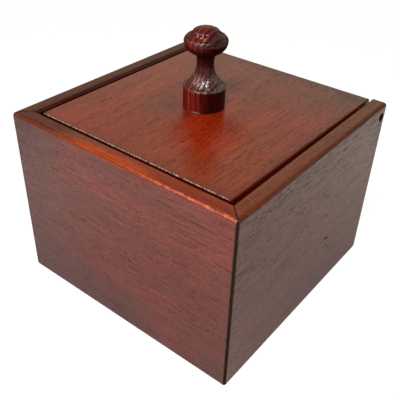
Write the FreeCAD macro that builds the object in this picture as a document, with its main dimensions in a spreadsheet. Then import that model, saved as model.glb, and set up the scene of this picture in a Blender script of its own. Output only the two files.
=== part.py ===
import FreeCAD, Part
import os
import re
import Sketcher

# Wooden puzzle box with a pin-hinged lid, a knob that turns a hidden latch and two tilting lock pins.
# Millimetres, +Z up, front of the box towards -Y. The origin is the middle of the underside.

# Driving sizes, each written once.
SIZES = {
    "box_width": 100.0,
    "box_depth": 100.0,
    "box_height": 72.5,
    "wall": 6.3,
    "corner_round": 0.8,
    "foot_round": 1.2,
    "rim_round": 1.5,
    "edge_ease": 0.5,
    "base_thickness": 4.0,
    "base_rebate": 3.0,
    "rear_housing": 3.0,
    "lid_thickness": 9.0,
    "lid_drop": 0.8,
    "lid_edge_round": 0.6,
    "side_gap": 1.0,
    "front_gap": 1.5,
    "lid_trim": 0.9,
    "lid_rear_gap": 0.2,
    "rear_wall_gap": 0.3,
    "hinge_setback": 3.5,
    "hinge_pin_diameter": 3.4,
    "hinge_pin_recess": 1.5,
    "hinge_pin_reach": 9.0,
    "hinge_end_gap": 0.5,
    "cleat_length": 50.0,
    "cleat_depth": 12.0,
    "cleat_height": 6.0,
    "lid_seat_gap": 0.1,
    "knob_x": -2.8,
    "knob_y": 2.0,
    "knob_seat_gap": 0.1,
    "knob_base_radius": 8.1,
    "knob_base_height": 8.0,
    "knob_shoulder": 0.7,
    "knob_shoulder_curve": 1.2,
    "knob_flare_height": 6.9,
    "knob_flare_curve": 11.2,
    "knob_neck_radius": 3.25,
    "knob_neck_height": 2.4,
    "knob_throat_width": 1.95,
    "knob_throat_height": 2.8,
    "knob_throat_curve": 3.0,
    "knob_head_radius": 8.15,
    "knob_bowl_height": 4.0,
    "knob_bowl_curve": 4.5,
    "knob_brow_width": 2.15,
    "knob_brow_height": 2.5,
    "knob_brow_curve": 2.7,
    "knob_ledge_width": 1.0,
    "knob_ledge_height": 1.0,
    "knob_cap_taper": 0.3,
    "knob_cap_side": 0.5,
    "knob_crown_height": 1.15,
    "knob_crown_curve": 7.0,
    "knob_crown_flat": 0.9,
    "spindle_diameter": 6.0,
    "spindle_reach": 9.0,
    "spacer_diameter": 14.0,
    "latch_gap": 0.4,
    "latch_reach": 38.0,
    "latch_width": 10.0,
    "latch_thickness": 4.0,
    "latch_end_round": 4.5,
    "washer_diameter": 9.0,
    "washer_thickness": 0.8,
    "screw_diameter": 2.8,
    "screw_reach": 12.0,
    "screw_head_diameter": 6.0,
    "screw_head_height": 1.8,
    "screw_crown_diameter": 4.0,
    "screw_slot_width": 0.8,
    "screw_slot_depth": 0.9,
    "lock_spacing": 60.0,
    "lock_travel": 5.0,
    "lock_shank_diameter": 3.0,
    "lock_head_diameter": 4.6,
    "lock_head_length": 3.0,
    "lock_bore_diameter": 5.2,
    "lock_bush_length": 5.0,
    "lock_tip_setback": 0.5,
    "lock_end_gap": 0.3,
    "socket_gap": 0.3,
    "socket_end_gap": 0.6,
    "glue_gap": 0.03,
    "running_gap": 0.08,
}

# Places that follow from the driving sizes, as formulas.
OUTER_X = "(box_width / 2)"
INNER_X = "(box_width / 2 - wall)"
FRONT = "(-box_depth / 2)"
REAR = "(box_depth / 2)"
INNER_FRONT = "(wall - box_depth / 2)"
INNER_REAR = "(box_depth / 2 - wall)"
LID_TOP = "(box_height - lid_drop)"
LID_UNDER = f"({LID_TOP} - lid_thickness)"
LID_MIDDLE = f"({LID_UNDER} + lid_thickness / 2)"
LID_SIDE = f"({INNER_X} - side_gap)"
LID_FRONT = f"({INNER_FRONT} + front_gap)"
LID_REAR = f"({REAR} - lid_rear_gap)"
HINGE_Y = f"({REAR} - hinge_setback)"
REAR_WALL_TOP = f"({LID_UNDER} - rear_wall_gap)"
CLEAT_TOP = f"({LID_UNDER} - lid_seat_gap)"
CLEAT_UNDER = f"({CLEAT_TOP} - cleat_height)"
LATCH_TOP = f"({CLEAT_UNDER} - latch_gap)"
LATCH_UNDER = f"({LATCH_TOP} - latch_thickness)"
WASHER_UNDER = f"({LATCH_UNDER} - washer_thickness)"
KNOB_SEAT = f"({LID_TOP} + knob_seat_gap)"
LOCK_HEAD_FRONT = f"({LID_FRONT} + lock_bush_length + lock_travel + lock_end_gap)"

# The two sides of the box, with the sign of X on each.
SIDES = (("left", "-1"), ("right", "1"))

# Two places closer than this are the same place.
TOUCH = 1e-4

doc = FreeCAD.newDocument("puzzle_box")
sheet = doc.addObject("Spreadsheet::Sheet", "Sizes")
for row, (alias, size) in enumerate(SIZES.items(), start=1):
    sheet.set(f"A{row}", alias)
    sheet.set(f"B{row}", str(size))
    sheet.setAlias(f"B{row}", alias)
doc.recompute()

nodes = []


def formula(text):
    """Put the sheet's name before each size that a formula names."""
    return re.sub(r"[a-z_]+", lambda word: f"Sizes.{word[0]}" if word[0] in SIZES else word[0], text)


def value(text):
    """Work out a formula from the sheet."""
    return float(sheet.evalExpression(formula(text)))


def bind(thing, **formulas):
    """Tie properties of an object to the sheet; two underscores stand for a dot."""
    for name, text in formulas.items():
        thing.setExpression(name.replace("__", "."), formula(text))


def node(thing):
    """Count an object as one of the box's separate pieces."""
    nodes.append(thing)
    return thing


def new_body(label):
    body = doc.addObject("PartDesign::Body", label)
    body.Label = label
    return body


def new_sketch(body, name, plane):
    """A sketch on one of the body's own origin planes."""
    sketch = body.newObject("Sketcher::SketchObject", name)
    planes = [feature for feature in body.Origin.OriginFeatures if feature.Role == plane]
    sketch.AttachmentSupport = (planes[0], "")
    sketch.MapMode = "FlatFace"
    return sketch


def draw(sketch, corners, curves):
    """Close an outline through corners (x, y); curves gives corner number: (radius, bulge side).

    The stretch that starts at a numbered corner is an arc of that radius. A bulge side of 1 swells to
    the right of the way the outline runs, and -1 to the left.
    """
    points = [FreeCAD.Vector(value(x), value(y), 0) for x, y in corners]
    starts = []
    ends = []
    for index, start in enumerate(points):
        end = points[(index + 1) % len(points)]
        if index in curves:
            radius, bulge = curves[index]
            chord = end - start
            across = FreeCAD.Vector(chord.y, -chord.x, 0) / chord.Length
            reach = value(radius)
            rise = reach - (reach ** 2 - (chord.Length / 2) ** 2) ** 0.5
            line = sketch.addGeometry(Part.Arc(start, (start + end) / 2 + across * bulge * rise, end))
            sketch.addConstraint(Sketcher.Constraint("Radius", line, reach))
            sketch.setExpression(f"Constraints[{sketch.ConstraintCount - 1}]", formula(radius))
        else:
            line = sketch.addGeometry(Part.LineSegment(start, end))
        forward = (sketch.getPoint(line, 1) - start).Length < TOUCH
        starts.append((line, 1 if forward else 2))
        ends.append((line, 2 if forward else 1))
    for index, corner in enumerate(corners):
        sketch.addConstraint(Sketcher.Constraint("Coincident", *ends[index - 1], *starts[index]))
        for direction, text in zip(("DistanceX", "DistanceY"), corner):
            place = Sketcher.Constraint(direction, -1, 1, *starts[index], value(text))
            sketch.addConstraint(place)
            sketch.setExpression(f"Constraints[{sketch.ConstraintCount - 1}]", formula(text))


def pad(body, sketch, length):
    feature = body.newObject("PartDesign::Pad", "pad")
    feature.Profile = sketch
    bind(feature, Length=length)
    doc.recompute()
    return feature


def round_edges(body, picked, radius):
    """Round the edges of the body's last feature that picked accepts."""
    base = body.Tip
    box = base.Shape.BoundBox
    names = [f"Edge{number}" for number, edge in enumerate(base.Shape.Edges, start=1)
             if picked(edge.BoundBox, box)]
    feature = body.newObject("PartDesign::Fillet", "round")
    feature.Base = (base, names)
    bind(feature, Radius=radius)
    doc.recompute()


def upper(edge, box):
    return edge.ZMin > box.ZMax - TOUCH


def upright(edge, box):
    return edge.ZLength > box.ZLength - TOUCH


def upper_rear(edge, box):
    return upper(edge, box) and edge.YMin > box.YMax - TOUCH


def lower(edge, box):
    return edge.ZMax < box.ZMin + TOUCH


def lower_rear(edge, box):
    return lower(edge, box) and edge.YMin > box.YMax - TOUCH


def upper_or_front_upright(edge, box):
    return upper(edge, box) or edge.YMax < box.YMin + TOUCH and edge.XLength < TOUCH


def prism(label, corners, z, rounds=()):
    """A board with straight plan edges, between two heights, with some edges rounded."""
    body = new_body(label)
    sketch = new_sketch(body, "plan", "XY_Plane")
    draw(sketch, corners, {})
    pad(body, sketch, f"{z[1]} - {z[0]}")
    for picked, radius in rounds:
        round_edges(body, picked, radius)
    bind(body, Placement__Base__z=z[0])
    return body


def board(label, x, y, z, rounds=()):
    """A board square to the box, given by its lowest and highest places on each axis."""
    corners = [(x[0], y[0]), (x[1], y[0]), (x[1], y[1]), (x[0], y[1])]
    return prism(label, corners, z, rounds)


# Turns that lay a rod, which is made upright, along each axis.
LAY = {
    "X": FreeCAD.Rotation(FreeCAD.Vector(0, 1, 0), 90),
    "Y": FreeCAD.Rotation(FreeCAD.Vector(1, 0, 0), -90),
    "Z": FreeCAD.Rotation(),
}


def rod(label, diameter, start, length, axis="Z"):
    """A round rod from its starting point along the positive side of an axis."""
    thing = doc.addObject("Part::Cylinder", label)
    thing.Label = label
    thing.Placement = FreeCAD.Placement(FreeCAD.Vector(), LAY[axis])
    bind(thing, Radius=f"({diameter}) / 2", Height=length)
    bind(thing, Placement__Base__x=start[0], Placement__Base__y=start[1], Placement__Base__z=start[2])
    return thing


def join(label, things):
    thing = doc.addObject("Part::MultiFuse", label)
    thing.Label = label
    thing.Shapes = things
    return thing


def common(label, first, second):
    thing = doc.addObject("Part::Common", label)
    thing.Label = label
    thing.Base = first
    thing.Tool = second
    return thing


def cut(label, base, tools):
    thing = doc.addObject("Part::Cut", label)
    thing.Label = label
    thing.Base = base
    thing.Tool = tools[0] if len(tools) == 1 else join(f"{label}_cutters", tools)
    return thing


def case_form():
    """The three rimmed walls in one piece, with every rounded edge, before they are parted at the mitres."""
    outer = [(f"-{OUTER_X}", FRONT), (OUTER_X, FRONT), (OUTER_X, REAR), (f"-{OUTER_X}", REAR)]
    body = prism("case_form", outer, ("0", "box_height"), [(upright, "corner_round"), (lower, "foot_round")])
    inside = new_sketch(body, "inside", "XY_Plane")
    past_rear = f"({REAR} + wall)"
    draw(inside, [(f"-{INNER_X}", INNER_FRONT), (INNER_X, INNER_FRONT),
                  (INNER_X, past_rear), (f"-{INNER_X}", past_rear)], {})
    before = body.Tip.Shape.Volume
    pocket = body.newObject("PartDesign::Pocket", "hollow")
    pocket.Profile = inside
    pocket.Reversed = True
    bind(pocket, Length="box_height")
    doc.recompute()
    if pocket.Shape.Volume > before / 2:
        raise RuntimeError("the hollow of the case was not cut")
    round_edges(body, upper, "rim_round")
    return body


def make_case():
    """Walls, base, cleats and hinge pins."""
    form = case_form()
    let_in = "(wall - base_rebate)"
    base = node(board("base_panel",
                      (f"-({OUTER_X} - {let_in})", f"({OUTER_X} - {let_in})"),
                      (f"({FRONT} + {let_in})", f"({REAR} - {let_in})"),
                      ("0", "base_thickness")))

    housed = f"({INNER_X} + rear_housing)"
    rear_block = board("rear_block", (f"-{housed}", housed), (INNER_REAR, REAR), ("0", REAR_WALL_TOP),
                       [(upper_rear, "edge_ease"), (lower_rear, "foot_round")])
    node(cut("rear_wall", rear_block, [base]))

    socket_depth = "(lock_travel - front_gap - lock_tip_setback + socket_end_gap)"
    sockets = [rod(f"{side}_socket", "lock_shank_diameter + 2 * socket_gap",
                   (f"{sign} * lock_spacing / 2", f"{INNER_FRONT} - {socket_depth}", LID_MIDDLE),
                   f"{socket_depth} + front_gap", "Y") for side, sign in SIDES]
    front_region = prism("front_region", [(f"-{OUTER_X}", FRONT), (OUTER_X, FRONT),
                                          (INNER_X, INNER_FRONT), (f"-{INNER_X}", INNER_FRONT)],
                         ("0", "box_height"))
    node(cut("front_wall", common("front_blank", form, front_region), [base] + sockets))

    for side, sign in SIDES:
        outer_x = f"{sign} * {OUTER_X}"
        inner_x = f"{sign} * {INNER_X}"
        region = prism(f"{side}_region", [(outer_x, FRONT), (inner_x, INNER_FRONT),
                                          (inner_x, REAR), (outer_x, REAR)],
                       ("0", "box_height"))
        middle_x = f"{sign} * ({OUTER_X} - wall / 2)"
        hole = rod(f"{side}_hinge_hole", "hinge_pin_diameter + 2 * glue_gap",
                   (f"{middle_x} - wall", HINGE_Y, LID_MIDDLE), "2 * wall", "X")
        blank = common(f"{side}_blank", form, region)
        node(cut(f"{side}_wall", blank, [base, rear_block, hole]))

        pin_length = "(wall - hinge_pin_recess + side_gap + hinge_pin_reach)"
        pin_middle = f"{sign} * ({OUTER_X} - hinge_pin_recess - {pin_length} / 2)"
        node(rod(f"{side}_hinge_pin", "hinge_pin_diameter",
                 (f"{pin_middle} - {pin_length} / 2", HINGE_Y, LID_MIDDLE), pin_length, "X"))

        cleat_middle = f"{sign} * ({INNER_X} - cleat_depth / 2)"
        node(board(f"{side}_cleat",
                   (f"({cleat_middle} - cleat_depth / 2)", f"({cleat_middle} + cleat_depth / 2)"),
                   ("(knob_y - cleat_length / 2)", "(knob_y + cleat_length / 2)"),
                   (CLEAT_UNDER, CLEAT_TOP)))


def make_lid():
    """Lid board, narrowed to the front on its right, its bores, and the rings that keep the pins in."""
    plan = [(f"-{LID_SIDE}", LID_FRONT), (f"({LID_SIDE} - lid_trim)", LID_FRONT),
            (LID_SIDE, LID_REAR), (f"-{LID_SIDE}", LID_REAR)]
    blank = prism("lid_blank", plan, (LID_UNDER, LID_TOP),
                  [(lower_rear, "hinge_setback - lid_rear_gap"), (upper_or_front_upright, "lid_edge_round")])
    bores = [rod("spindle_bore", "spindle_diameter + 2 * running_gap",
                 ("knob_x", "knob_y", f"{LID_UNDER} - lid_thickness / 2"), "2 * lid_thickness")]
    for side, sign in SIDES:
        depth = "(hinge_pin_reach + hinge_end_gap)"
        middle_x = f"{sign} * ({LID_SIDE} - {depth} / 2 + side_gap / 2)"
        bores.append(rod(f"{side}_hinge_bore", "hinge_pin_diameter + 2 * running_gap",
                         (f"{middle_x} - ({depth} + side_gap) / 2", HINGE_Y, LID_MIDDLE),
                         f"{depth} + side_gap", "X"))
        pin_x = f"{sign} * lock_spacing / 2"
        mouth = (pin_x, f"{LID_FRONT} - front_gap", LID_MIDDLE)
        bore_end = f"({LOCK_HEAD_FRONT} + lock_head_length + lock_end_gap)"
        bores.append(rod(f"{side}_lock_bore", "lock_bore_diameter", mouth,
                         f"{bore_end} - {LID_FRONT} + front_gap", "Y"))
        ring = rod(f"{side}_ring", "lock_bore_diameter - 2 * glue_gap", (pin_x, LID_FRONT, LID_MIDDLE),
                   "lock_bush_length", "Y")
        ring_bore = rod(f"{side}_ring_bore", "lock_shank_diameter + 2 * running_gap", mouth,
                        "lock_bush_length + 2 * front_gap", "Y")
        node(cut(f"{side}_pin_bush", ring, [ring_bore]))
    node(cut("lid_panel", blank, bores))


def make_lock_pins():
    """Loose headed pins, drawn back into the lid so that it is free to open."""
    for side, sign in SIDES:
        pin_x = f"{sign} * lock_spacing / 2"
        tip = f"({LID_FRONT} + lock_tip_setback)"
        head = rod(f"{side}_lock_head", "lock_head_diameter", (pin_x, LOCK_HEAD_FRONT, LID_MIDDLE),
                   "lock_head_length", "Y")
        shank = rod(f"{side}_lock_shank", "lock_shank_diameter", (pin_x, tip, LID_MIDDLE),
                    f"{LOCK_HEAD_FRONT} + lock_head_length / 2 - {tip}", "Y")
        node(join(f"{side}_lock_pin", [head, shank]))


def knob_turning():
    """The knob as it comes off the lathe: drum, flared waist, bowl head and domed cap."""
    body = new_body("knob_turning")
    sketch = new_sketch(body, "profile", "XZ_Plane")
    heights = ["knob_base_height", "knob_shoulder", "knob_flare_height", "knob_neck_height",
               "knob_throat_height", "knob_bowl_height", "knob_brow_height", "knob_ledge_height",
               "knob_cap_side", "knob_crown_height"]
    level = [f"({' + '.join(heights[:count])})" for count in range(1, len(heights) + 1)]
    brow = "(knob_head_radius - knob_brow_width)"
    cap = f"({brow} - knob_ledge_width)"
    corners = [
        ("0", "0"),
        ("knob_base_radius", "0"),
        ("knob_base_radius", level[0]),
        ("(knob_base_radius - knob_shoulder)", level[1]),
        ("knob_neck_radius", level[2]),
        ("knob_neck_radius", level[3]),
        ("(knob_neck_radius + knob_throat_width)", level[4]),
        ("knob_head_radius", level[5]),
        (brow, level[6]),
        (cap, level[7]),
        (f"({cap} - knob_cap_taper)", level[8]),
        ("knob_crown_flat", level[9]),
        ("0", level[9]),
    ]
    curves = {
        2: ("knob_shoulder_curve", 1),
        3: ("knob_flare_curve", -1),
        5: ("knob_throat_curve", -1),
        6: ("knob_bowl_curve", 1),
        7: ("knob_brow_curve", 1),
        10: ("knob_crown_curve", 1),
    }
    draw(sketch, corners, curves)
    turning = body.newObject("PartDesign::Revolution", "turning")
    turning.Profile = sketch
    turning.ReferenceAxis = (sketch, ["V_Axis"])
    turning.Angle = 360
    doc.recompute()
    bind(body, Placement__Base__x="knob_x", Placement__Base__y="knob_y", Placement__Base__z=KNOB_SEAT)
    return body


def make_knob():
    """Knob, spindle and the turn button under the lid."""
    centre = ("knob_x", "knob_y")
    socket = rod("knob_socket", "spindle_diameter + 2 * glue_gap", (*centre, LID_UNDER),
                 f"{KNOB_SEAT} + spindle_reach + glue_gap - {LID_UNDER}")
    node(cut("knob", knob_turning(), [socket]))

    shank = rod("screw_shank", "screw_diameter", (*centre, WASHER_UNDER), "screw_reach")
    spindle_blank = rod("spindle_blank", "spindle_diameter", (*centre, LATCH_UNDER),
                        f"{KNOB_SEAT} + spindle_reach - {LATCH_UNDER}")
    node(cut("knob_spindle", spindle_blank, [shank]))

    through = rod("turning_bore", "spindle_diameter + 2 * glue_gap",
                  (*centre, f"{LATCH_UNDER} - latch_thickness"),
                  f"{LID_TOP} - {LATCH_UNDER} + latch_thickness")
    collar = rod("spacer_blank", "spacer_diameter", (*centre, LATCH_TOP),
                 f"{LID_UNDER} - running_gap - {LATCH_TOP}")
    node(cut("latch_spacer", collar, [through]))
    bar = board("latch_blank", ("(knob_x - latch_width / 2)", "(knob_x + latch_width / 2)"),
                ("(knob_y - latch_reach)", "(knob_y + latch_reach)"), (LATCH_UNDER, LATCH_TOP),
                [(upright, "latch_end_round")])
    node(cut("latch_bar", bar, [through]))

    washer = rod("washer_blank", "washer_diameter", (*centre, WASHER_UNDER), "washer_thickness")
    node(cut("latch_washer", washer, [shank]))
    head = doc.addObject("Part::Cone", "screw_head")
    bind(head, Radius1="screw_crown_diameter / 2", Radius2="screw_head_diameter / 2",
         Height="screw_head_height")
    head_under = f"({WASHER_UNDER} - screw_head_height)"
    bind(head, Placement__Base__x="knob_x", Placement__Base__y="knob_y", Placement__Base__z=head_under)
    slot = board("screw_slot", ("(knob_x - screw_head_diameter)", "(knob_x + screw_head_diameter)"),
                 ("(knob_y - screw_slot_width / 2)", "(knob_y + screw_slot_width / 2)"),
                 (f"({head_under} - screw_slot_depth)", f"({head_under} + screw_slot_depth)"))
    node(cut("latch_screw", join("screw_blank", [head, shank]), [slot]))


def write_pieces():
    """Stop at anything broken, then write each piece under its own name."""
    doc.recompute()
    broken = [thing.Label for thing in doc.Objects if {"Invalid", "Error"} & set(thing.State)]
    if broken:
        raise RuntimeError(f"failed to build: {broken}")
    for thing in nodes:
        if thing.Shape.isNull() or not thing.Shape.isValid() or len(thing.Shape.Solids) != 1:
            raise RuntimeError(f"{thing.Label} is not one sound solid")
    os.makedirs("parts", exist_ok=True)
    for thing in nodes:
        thing.Shape.exportStep(f"parts/{thing.Label}.step")
        print(f"{thing.Label}: {thing.Shape.Volume:.1f} cubic millimetres")


make_case()
make_lid()
make_lock_pins()
make_knob()
write_pieces()
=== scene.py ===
import math

import bmesh
import bpy
from bpy.props import FloatProperty, FloatVectorProperty, IntProperty, PointerProperty
from mathutils import Matrix, Vector, noise
from mathutils.bvhtree import BVHTree


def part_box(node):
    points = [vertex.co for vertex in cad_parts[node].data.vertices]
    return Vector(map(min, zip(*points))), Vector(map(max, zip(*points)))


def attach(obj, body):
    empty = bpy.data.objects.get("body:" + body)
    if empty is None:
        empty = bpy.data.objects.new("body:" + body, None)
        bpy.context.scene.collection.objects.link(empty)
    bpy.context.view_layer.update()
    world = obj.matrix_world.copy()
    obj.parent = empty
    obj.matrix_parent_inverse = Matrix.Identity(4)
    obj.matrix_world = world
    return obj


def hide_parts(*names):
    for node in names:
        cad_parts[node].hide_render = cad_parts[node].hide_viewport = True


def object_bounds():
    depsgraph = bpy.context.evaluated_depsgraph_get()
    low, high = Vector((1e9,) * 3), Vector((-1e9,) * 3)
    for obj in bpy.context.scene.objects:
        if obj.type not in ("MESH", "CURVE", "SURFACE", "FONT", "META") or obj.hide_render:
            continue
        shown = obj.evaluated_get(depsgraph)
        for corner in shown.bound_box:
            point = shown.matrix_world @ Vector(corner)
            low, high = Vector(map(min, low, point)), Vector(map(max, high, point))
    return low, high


bl_info = {
    "name": "Wooden Puzzle Box",
    "version": (1, 0, 0),
    "blender": (4, 5, 0),
    "location": "3D View > Sidebar > Puzzle Box",
    "description": "Finishes a hinged puzzle box of stained boards with a turned knob",
    "category": "Object",
}

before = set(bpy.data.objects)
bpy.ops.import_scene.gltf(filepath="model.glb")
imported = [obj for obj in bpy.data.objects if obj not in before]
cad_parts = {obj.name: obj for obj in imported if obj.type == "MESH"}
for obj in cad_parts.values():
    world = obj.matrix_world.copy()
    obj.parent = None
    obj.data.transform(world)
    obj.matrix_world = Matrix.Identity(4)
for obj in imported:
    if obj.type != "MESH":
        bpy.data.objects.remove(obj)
CAD_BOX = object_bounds()
MM = 0.001
ORIGIN = (0.0, 0.0, 0.0)

# Faces of the frame that the finish is placed by.
LID_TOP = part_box("lid_panel")[1].z
FRONT_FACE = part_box("front_wall")[0].y
RIGHT_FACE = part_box("right_wall")[1].x

# Stained boards: the way the grain runs, an offset that gives each its own figure, and the faces' stain.
BOARDS = {
    "front_wall": ("X", (0.0, 0.0, 5.0), "front_stain"),
    "rear_wall": ("X", (31.0, 17.0, 5.0), "front_stain"),
    "left_wall": ("Y", (71.0, 9.0, 0.0), "side_stain"),
    "right_wall": ("Y", (114.0, 9.0, 29.0), "side_stain"),
    "lid_panel": ("Y", (12.0, 55.0, 3.0), "lid_stain"),
}

# Rims of the walls: the stain, how much of it is in brown patches, how much of the lacquer's shine they
# keep, and how far up the rounded edge looks where the rim's stain begins and where it is full.
RIMS = {
    "front_wall": ("front_rim", 0.90, 0.70, (0.15, 0.60)),
    "rear_wall": ("side_rim", 0.80, 0.75, (0.15, 0.60)),
    "left_wall": ("left_rim", 0.60, 0.45, (0.15, 0.60)),
    "right_wall": ("side_rim", 0.80, 0.75, (0.05, 0.30)),
}

# The way the grain runs in the bare wood, and the axis that each metal piece is turned about.
INNER_WOOD = {
    "base_panel": "X",
    "left_cleat": "Y",
    "right_cleat": "Y",
    "latch_bar": "Y",
    "latch_spacer": "Z",
    "knob_spindle": "Z",
    "left_pin_bush": "Y",
    "right_pin_bush": "Y",
}
BRASS_PINS = {"left_hinge_pin": "X", "right_hinge_pin": "X", "left_lock_pin": "Y", "right_lock_pin": "Y"}
STEEL_PIECES = {"latch_washer": "Z", "latch_screw": "Z"}

# The pin that is sunk in each side wall.
HINGE_PINS = {"left_wall": "left_hinge_pin", "right_wall": "right_hinge_pin"}

# Clouds: place on the board, reach, stain and how strong it is in the middle. The front wall's are painted
# shade.
CLOUDS = {
    "lid_panel": (
        ((0.0130, 0.0630, LID_TOP), 0.060, "dark_cloud", 0.65),
        ((0.0450, 0.0470, LID_TOP), 0.034, "dark_cloud", 0.95),
        ((0.0360, -0.0230, LID_TOP), 0.034, "olive_cloud", 0.70),
        ((0.0060, -0.0330, LID_TOP), 0.022, "olive_cloud", 0.45),
        ((-0.0133, -0.0050, LID_TOP), 0.012, "dark_cloud", 0.75),
        ((0.0110, 0.0090, LID_TOP), 0.009, "orange_cloud", 0.45),
        ((0.0102, -0.0067, LID_TOP), 0.012, "orange_cloud", 0.80),
        ((0.0194, -0.0175, LID_TOP), 0.014, "orange_cloud", 0.85),
        ((0.0430, -0.0400, LID_TOP), 0.014, "dark_cloud", 0.40),
        ((0.0420, 0.0050, LID_TOP), 0.022, "dark_cloud", 0.40),
    ),
    # Painted shade: the front wall is darker along its bottom and at its left end.
    "front_wall": (
        ((-0.0480, FRONT_FACE, 0.0700), 0.042, "dark_cloud", 0.90),
        ((-0.0480, FRONT_FACE, 0.0000), 0.048, "dark_cloud", 0.90),
        ((0.0000, FRONT_FACE, -0.0060), 0.036, "dark_cloud", 0.85),
        ((0.0500, FRONT_FACE, 0.0000), 0.028, "dark_cloud", 0.90),
        ((-0.0440, FRONT_FACE, 0.0380), 0.034, "dark_cloud", 0.40),
    ),
}

# Specks on the right wall, in millimetres: place towards the rear, height and reach.
SPECKS = (
    (10.8, 39.9, 0.75),
    (13.9, 26.9, 0.80),
    (15.2, 26.6, 0.65),
    (16.3, 25.9, 0.75),
    (17.6, 23.9, 0.65),
    (11.7, 26.2, 0.60),
    (14.4, 24.7, 0.55),
    (13.0, 23.1, 0.55),
    (15.2, 22.8, 0.60),
    (18.0, 20.6, 0.60),
)

# Growth layers across the knob, from its left: the place of each layer's right edge from the knob's
# middle in millimetres, and how pale the layer is. The first one begins at the place before them.
FIRST_LAYER_LEFT = -12.0
GROWTH_LAYERS = (
    (-5.6, 0.75),
    (-3.6, 0.42),
    (-2.1, 0.62),
    (-0.1, 1.0),
    (2.2, 0.66),
    (4.1, 0.50),
    # The two darkest layers, on the knob's right, are dark wood and also painted shade on the side turned
    # from the lamps.
    (6.6, 0.14),
    (12.0, 0.05),
)

# Turns that bring each direction onto X, where the grain runs in the texture.
ONTO_X = {
    "X": ORIGIN,
    "Y": (0.0, 0.0, math.radians(-90)),
    "Z": (0.0, math.radians(90), 0.0),
}


# Kinds of settings.

def colour(name, description, default):
    return FloatVectorProperty(name=name, description=description, subtype="COLOR", size=4, min=0.0,
                               max=1.0, default=(*default, 1.0))


def pair(name, description, default):
    return FloatVectorProperty(name=name, description=description, size=2, unit="LENGTH", default=default)


def position(name, description, default):
    return FloatVectorProperty(name=name, description=description, subtype="TRANSLATION", unit="LENGTH",
                               default=default)


def number(name, description, default, **options):
    return FloatProperty(name=name, description=description, default=default, **options)


def length(name, description, default):
    return number(name, description, default, unit="LENGTH", precision=5)


def factor(name, description, default):
    return number(name, description, default, subtype="FACTOR", min=0.0, max=1.0)


def turning(name, description, degrees):
    return number(name, description, math.radians(degrees), subtype="ANGLE")


class BoardSettings(bpy.types.PropertyGroup):
    """Finish of the stained and lacquered boards."""

    lid_stain: colour("Lid stain", "Stain on the lid", (0.246, 0.0172, 0.0022))
    # Stain in the lid's clouds; also painted shade on the front wall and on the front rim's outer part.
    dark_cloud: colour("Dark clouds", "Stain in the dark clouds", (0.115, 0.0110, 0.0030))
    olive_cloud: colour("Olive clouds", "Stain in the brown clouds", (0.208, 0.0295, 0.0025))
    orange_cloud: colour("Orange clouds", "Stain in the pale clouds", (0.375, 0.0230, 0.0020))
    front_stain: colour("Front stain", "Stain on the front and rear walls", (0.265, 0.0138, 0.0034))
    side_stain: colour("Side stain", "Stain on the side walls", (0.208, 0.0170, 0.0040))
    front_rim: colour("Front rim", "Stain on the rim of the front wall", (0.232, 0.0230, 0.0026))
    left_rim: colour("Left rim", "Stain on the left rim and by the left corner", (0.090, 0.0250, 0.0140))
    side_rim: colour("Side rim", "Stain on the rims of the right and rear walls", (0.205, 0.0290, 0.0055))
    rim_olive: colour("Olive rim", "Brown patches on the rims", (0.098, 0.0460, 0.0200))
    # Wear and painted light: the paler band along the front rim's outer edge.
    worn_edge: colour("Worn edge", "Stain rubbed thin on the front rim's edges", (0.400, 0.0440, 0.0045))
    # Painted highlight as well as bare spots on the front rim's outer arris.
    bare_and_highlit_edge: colour("Bare edge", "Bare spots on the front's outer edge", (0.760, 0.1700, 0.0650))
    # Stain gathered on edges; also painted shade on the left wall's inner side and in the pin bores.
    dark_edge: colour("Dark edge", "Stain gathered on edges and in pin bores", (0.020, 0.0020, 0.0010))
    inside_stain: colour("Inside", "Thin stain inside the box", (0.150, 0.0330, 0.0130))
    pore_colour: colour("Pores", "Stain gathered in the pores", (0.030, 0.0040, 0.0020))
    joint_colour: colour("Joint", "Glue and dark stain along the mitres", (0.030, 0.0130, 0.0060))
    figure_depth: factor("Figure depth", "How far the figure darkens or lightens the stain", 0.18)
    pore_depth: factor("Pore depth", "How dark the pores are", 0.55)
    pore_gap: factor("Pore gap", "How much of the lacquer's shine the pores lose", 0.42)
    pore_length: length("Pore length", "Length of the lid's pores along the grain", 0.0034)
    wall_pore_length: length("Wall pore length", "Length of the pores along the grain of the walls", 0.0020)
    pore_width: length("Pore width", "Width of the pores across the grain", 0.00028)
    streak_length: length("Streak length", "Length of the fine streaks along the grain", 0.0130)
    streak_width: length("Streak width", "Width of the fine streaks across the grain", 0.00040)
    figure_length: length("Figure length", "Length of the light and dark figure along the grain", 0.045)
    figure_width: length("Figure width", "Width of the light and dark figure across the grain", 0.009)
    joint_width: length("Joint width", "Width of the dark line along an upright mitre", 0.0015)
    # Painted glints: pale colour where the lacquer's bead swells.
    dried_nib: colour("Dried nibs", "Pale nibs in the lacquer's bead", (0.420, 0.3000, 0.2500))
    bead_radius: length("Bead radius", "Radius of the lacquer's bead along the lid's front edge", 0.00028)
    bead_step: length("Bead step", "Distance between the bead's rings", 0.0002)
    gloss: factor("Roughness", "Roughness of the lacquer", 0.26)


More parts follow.
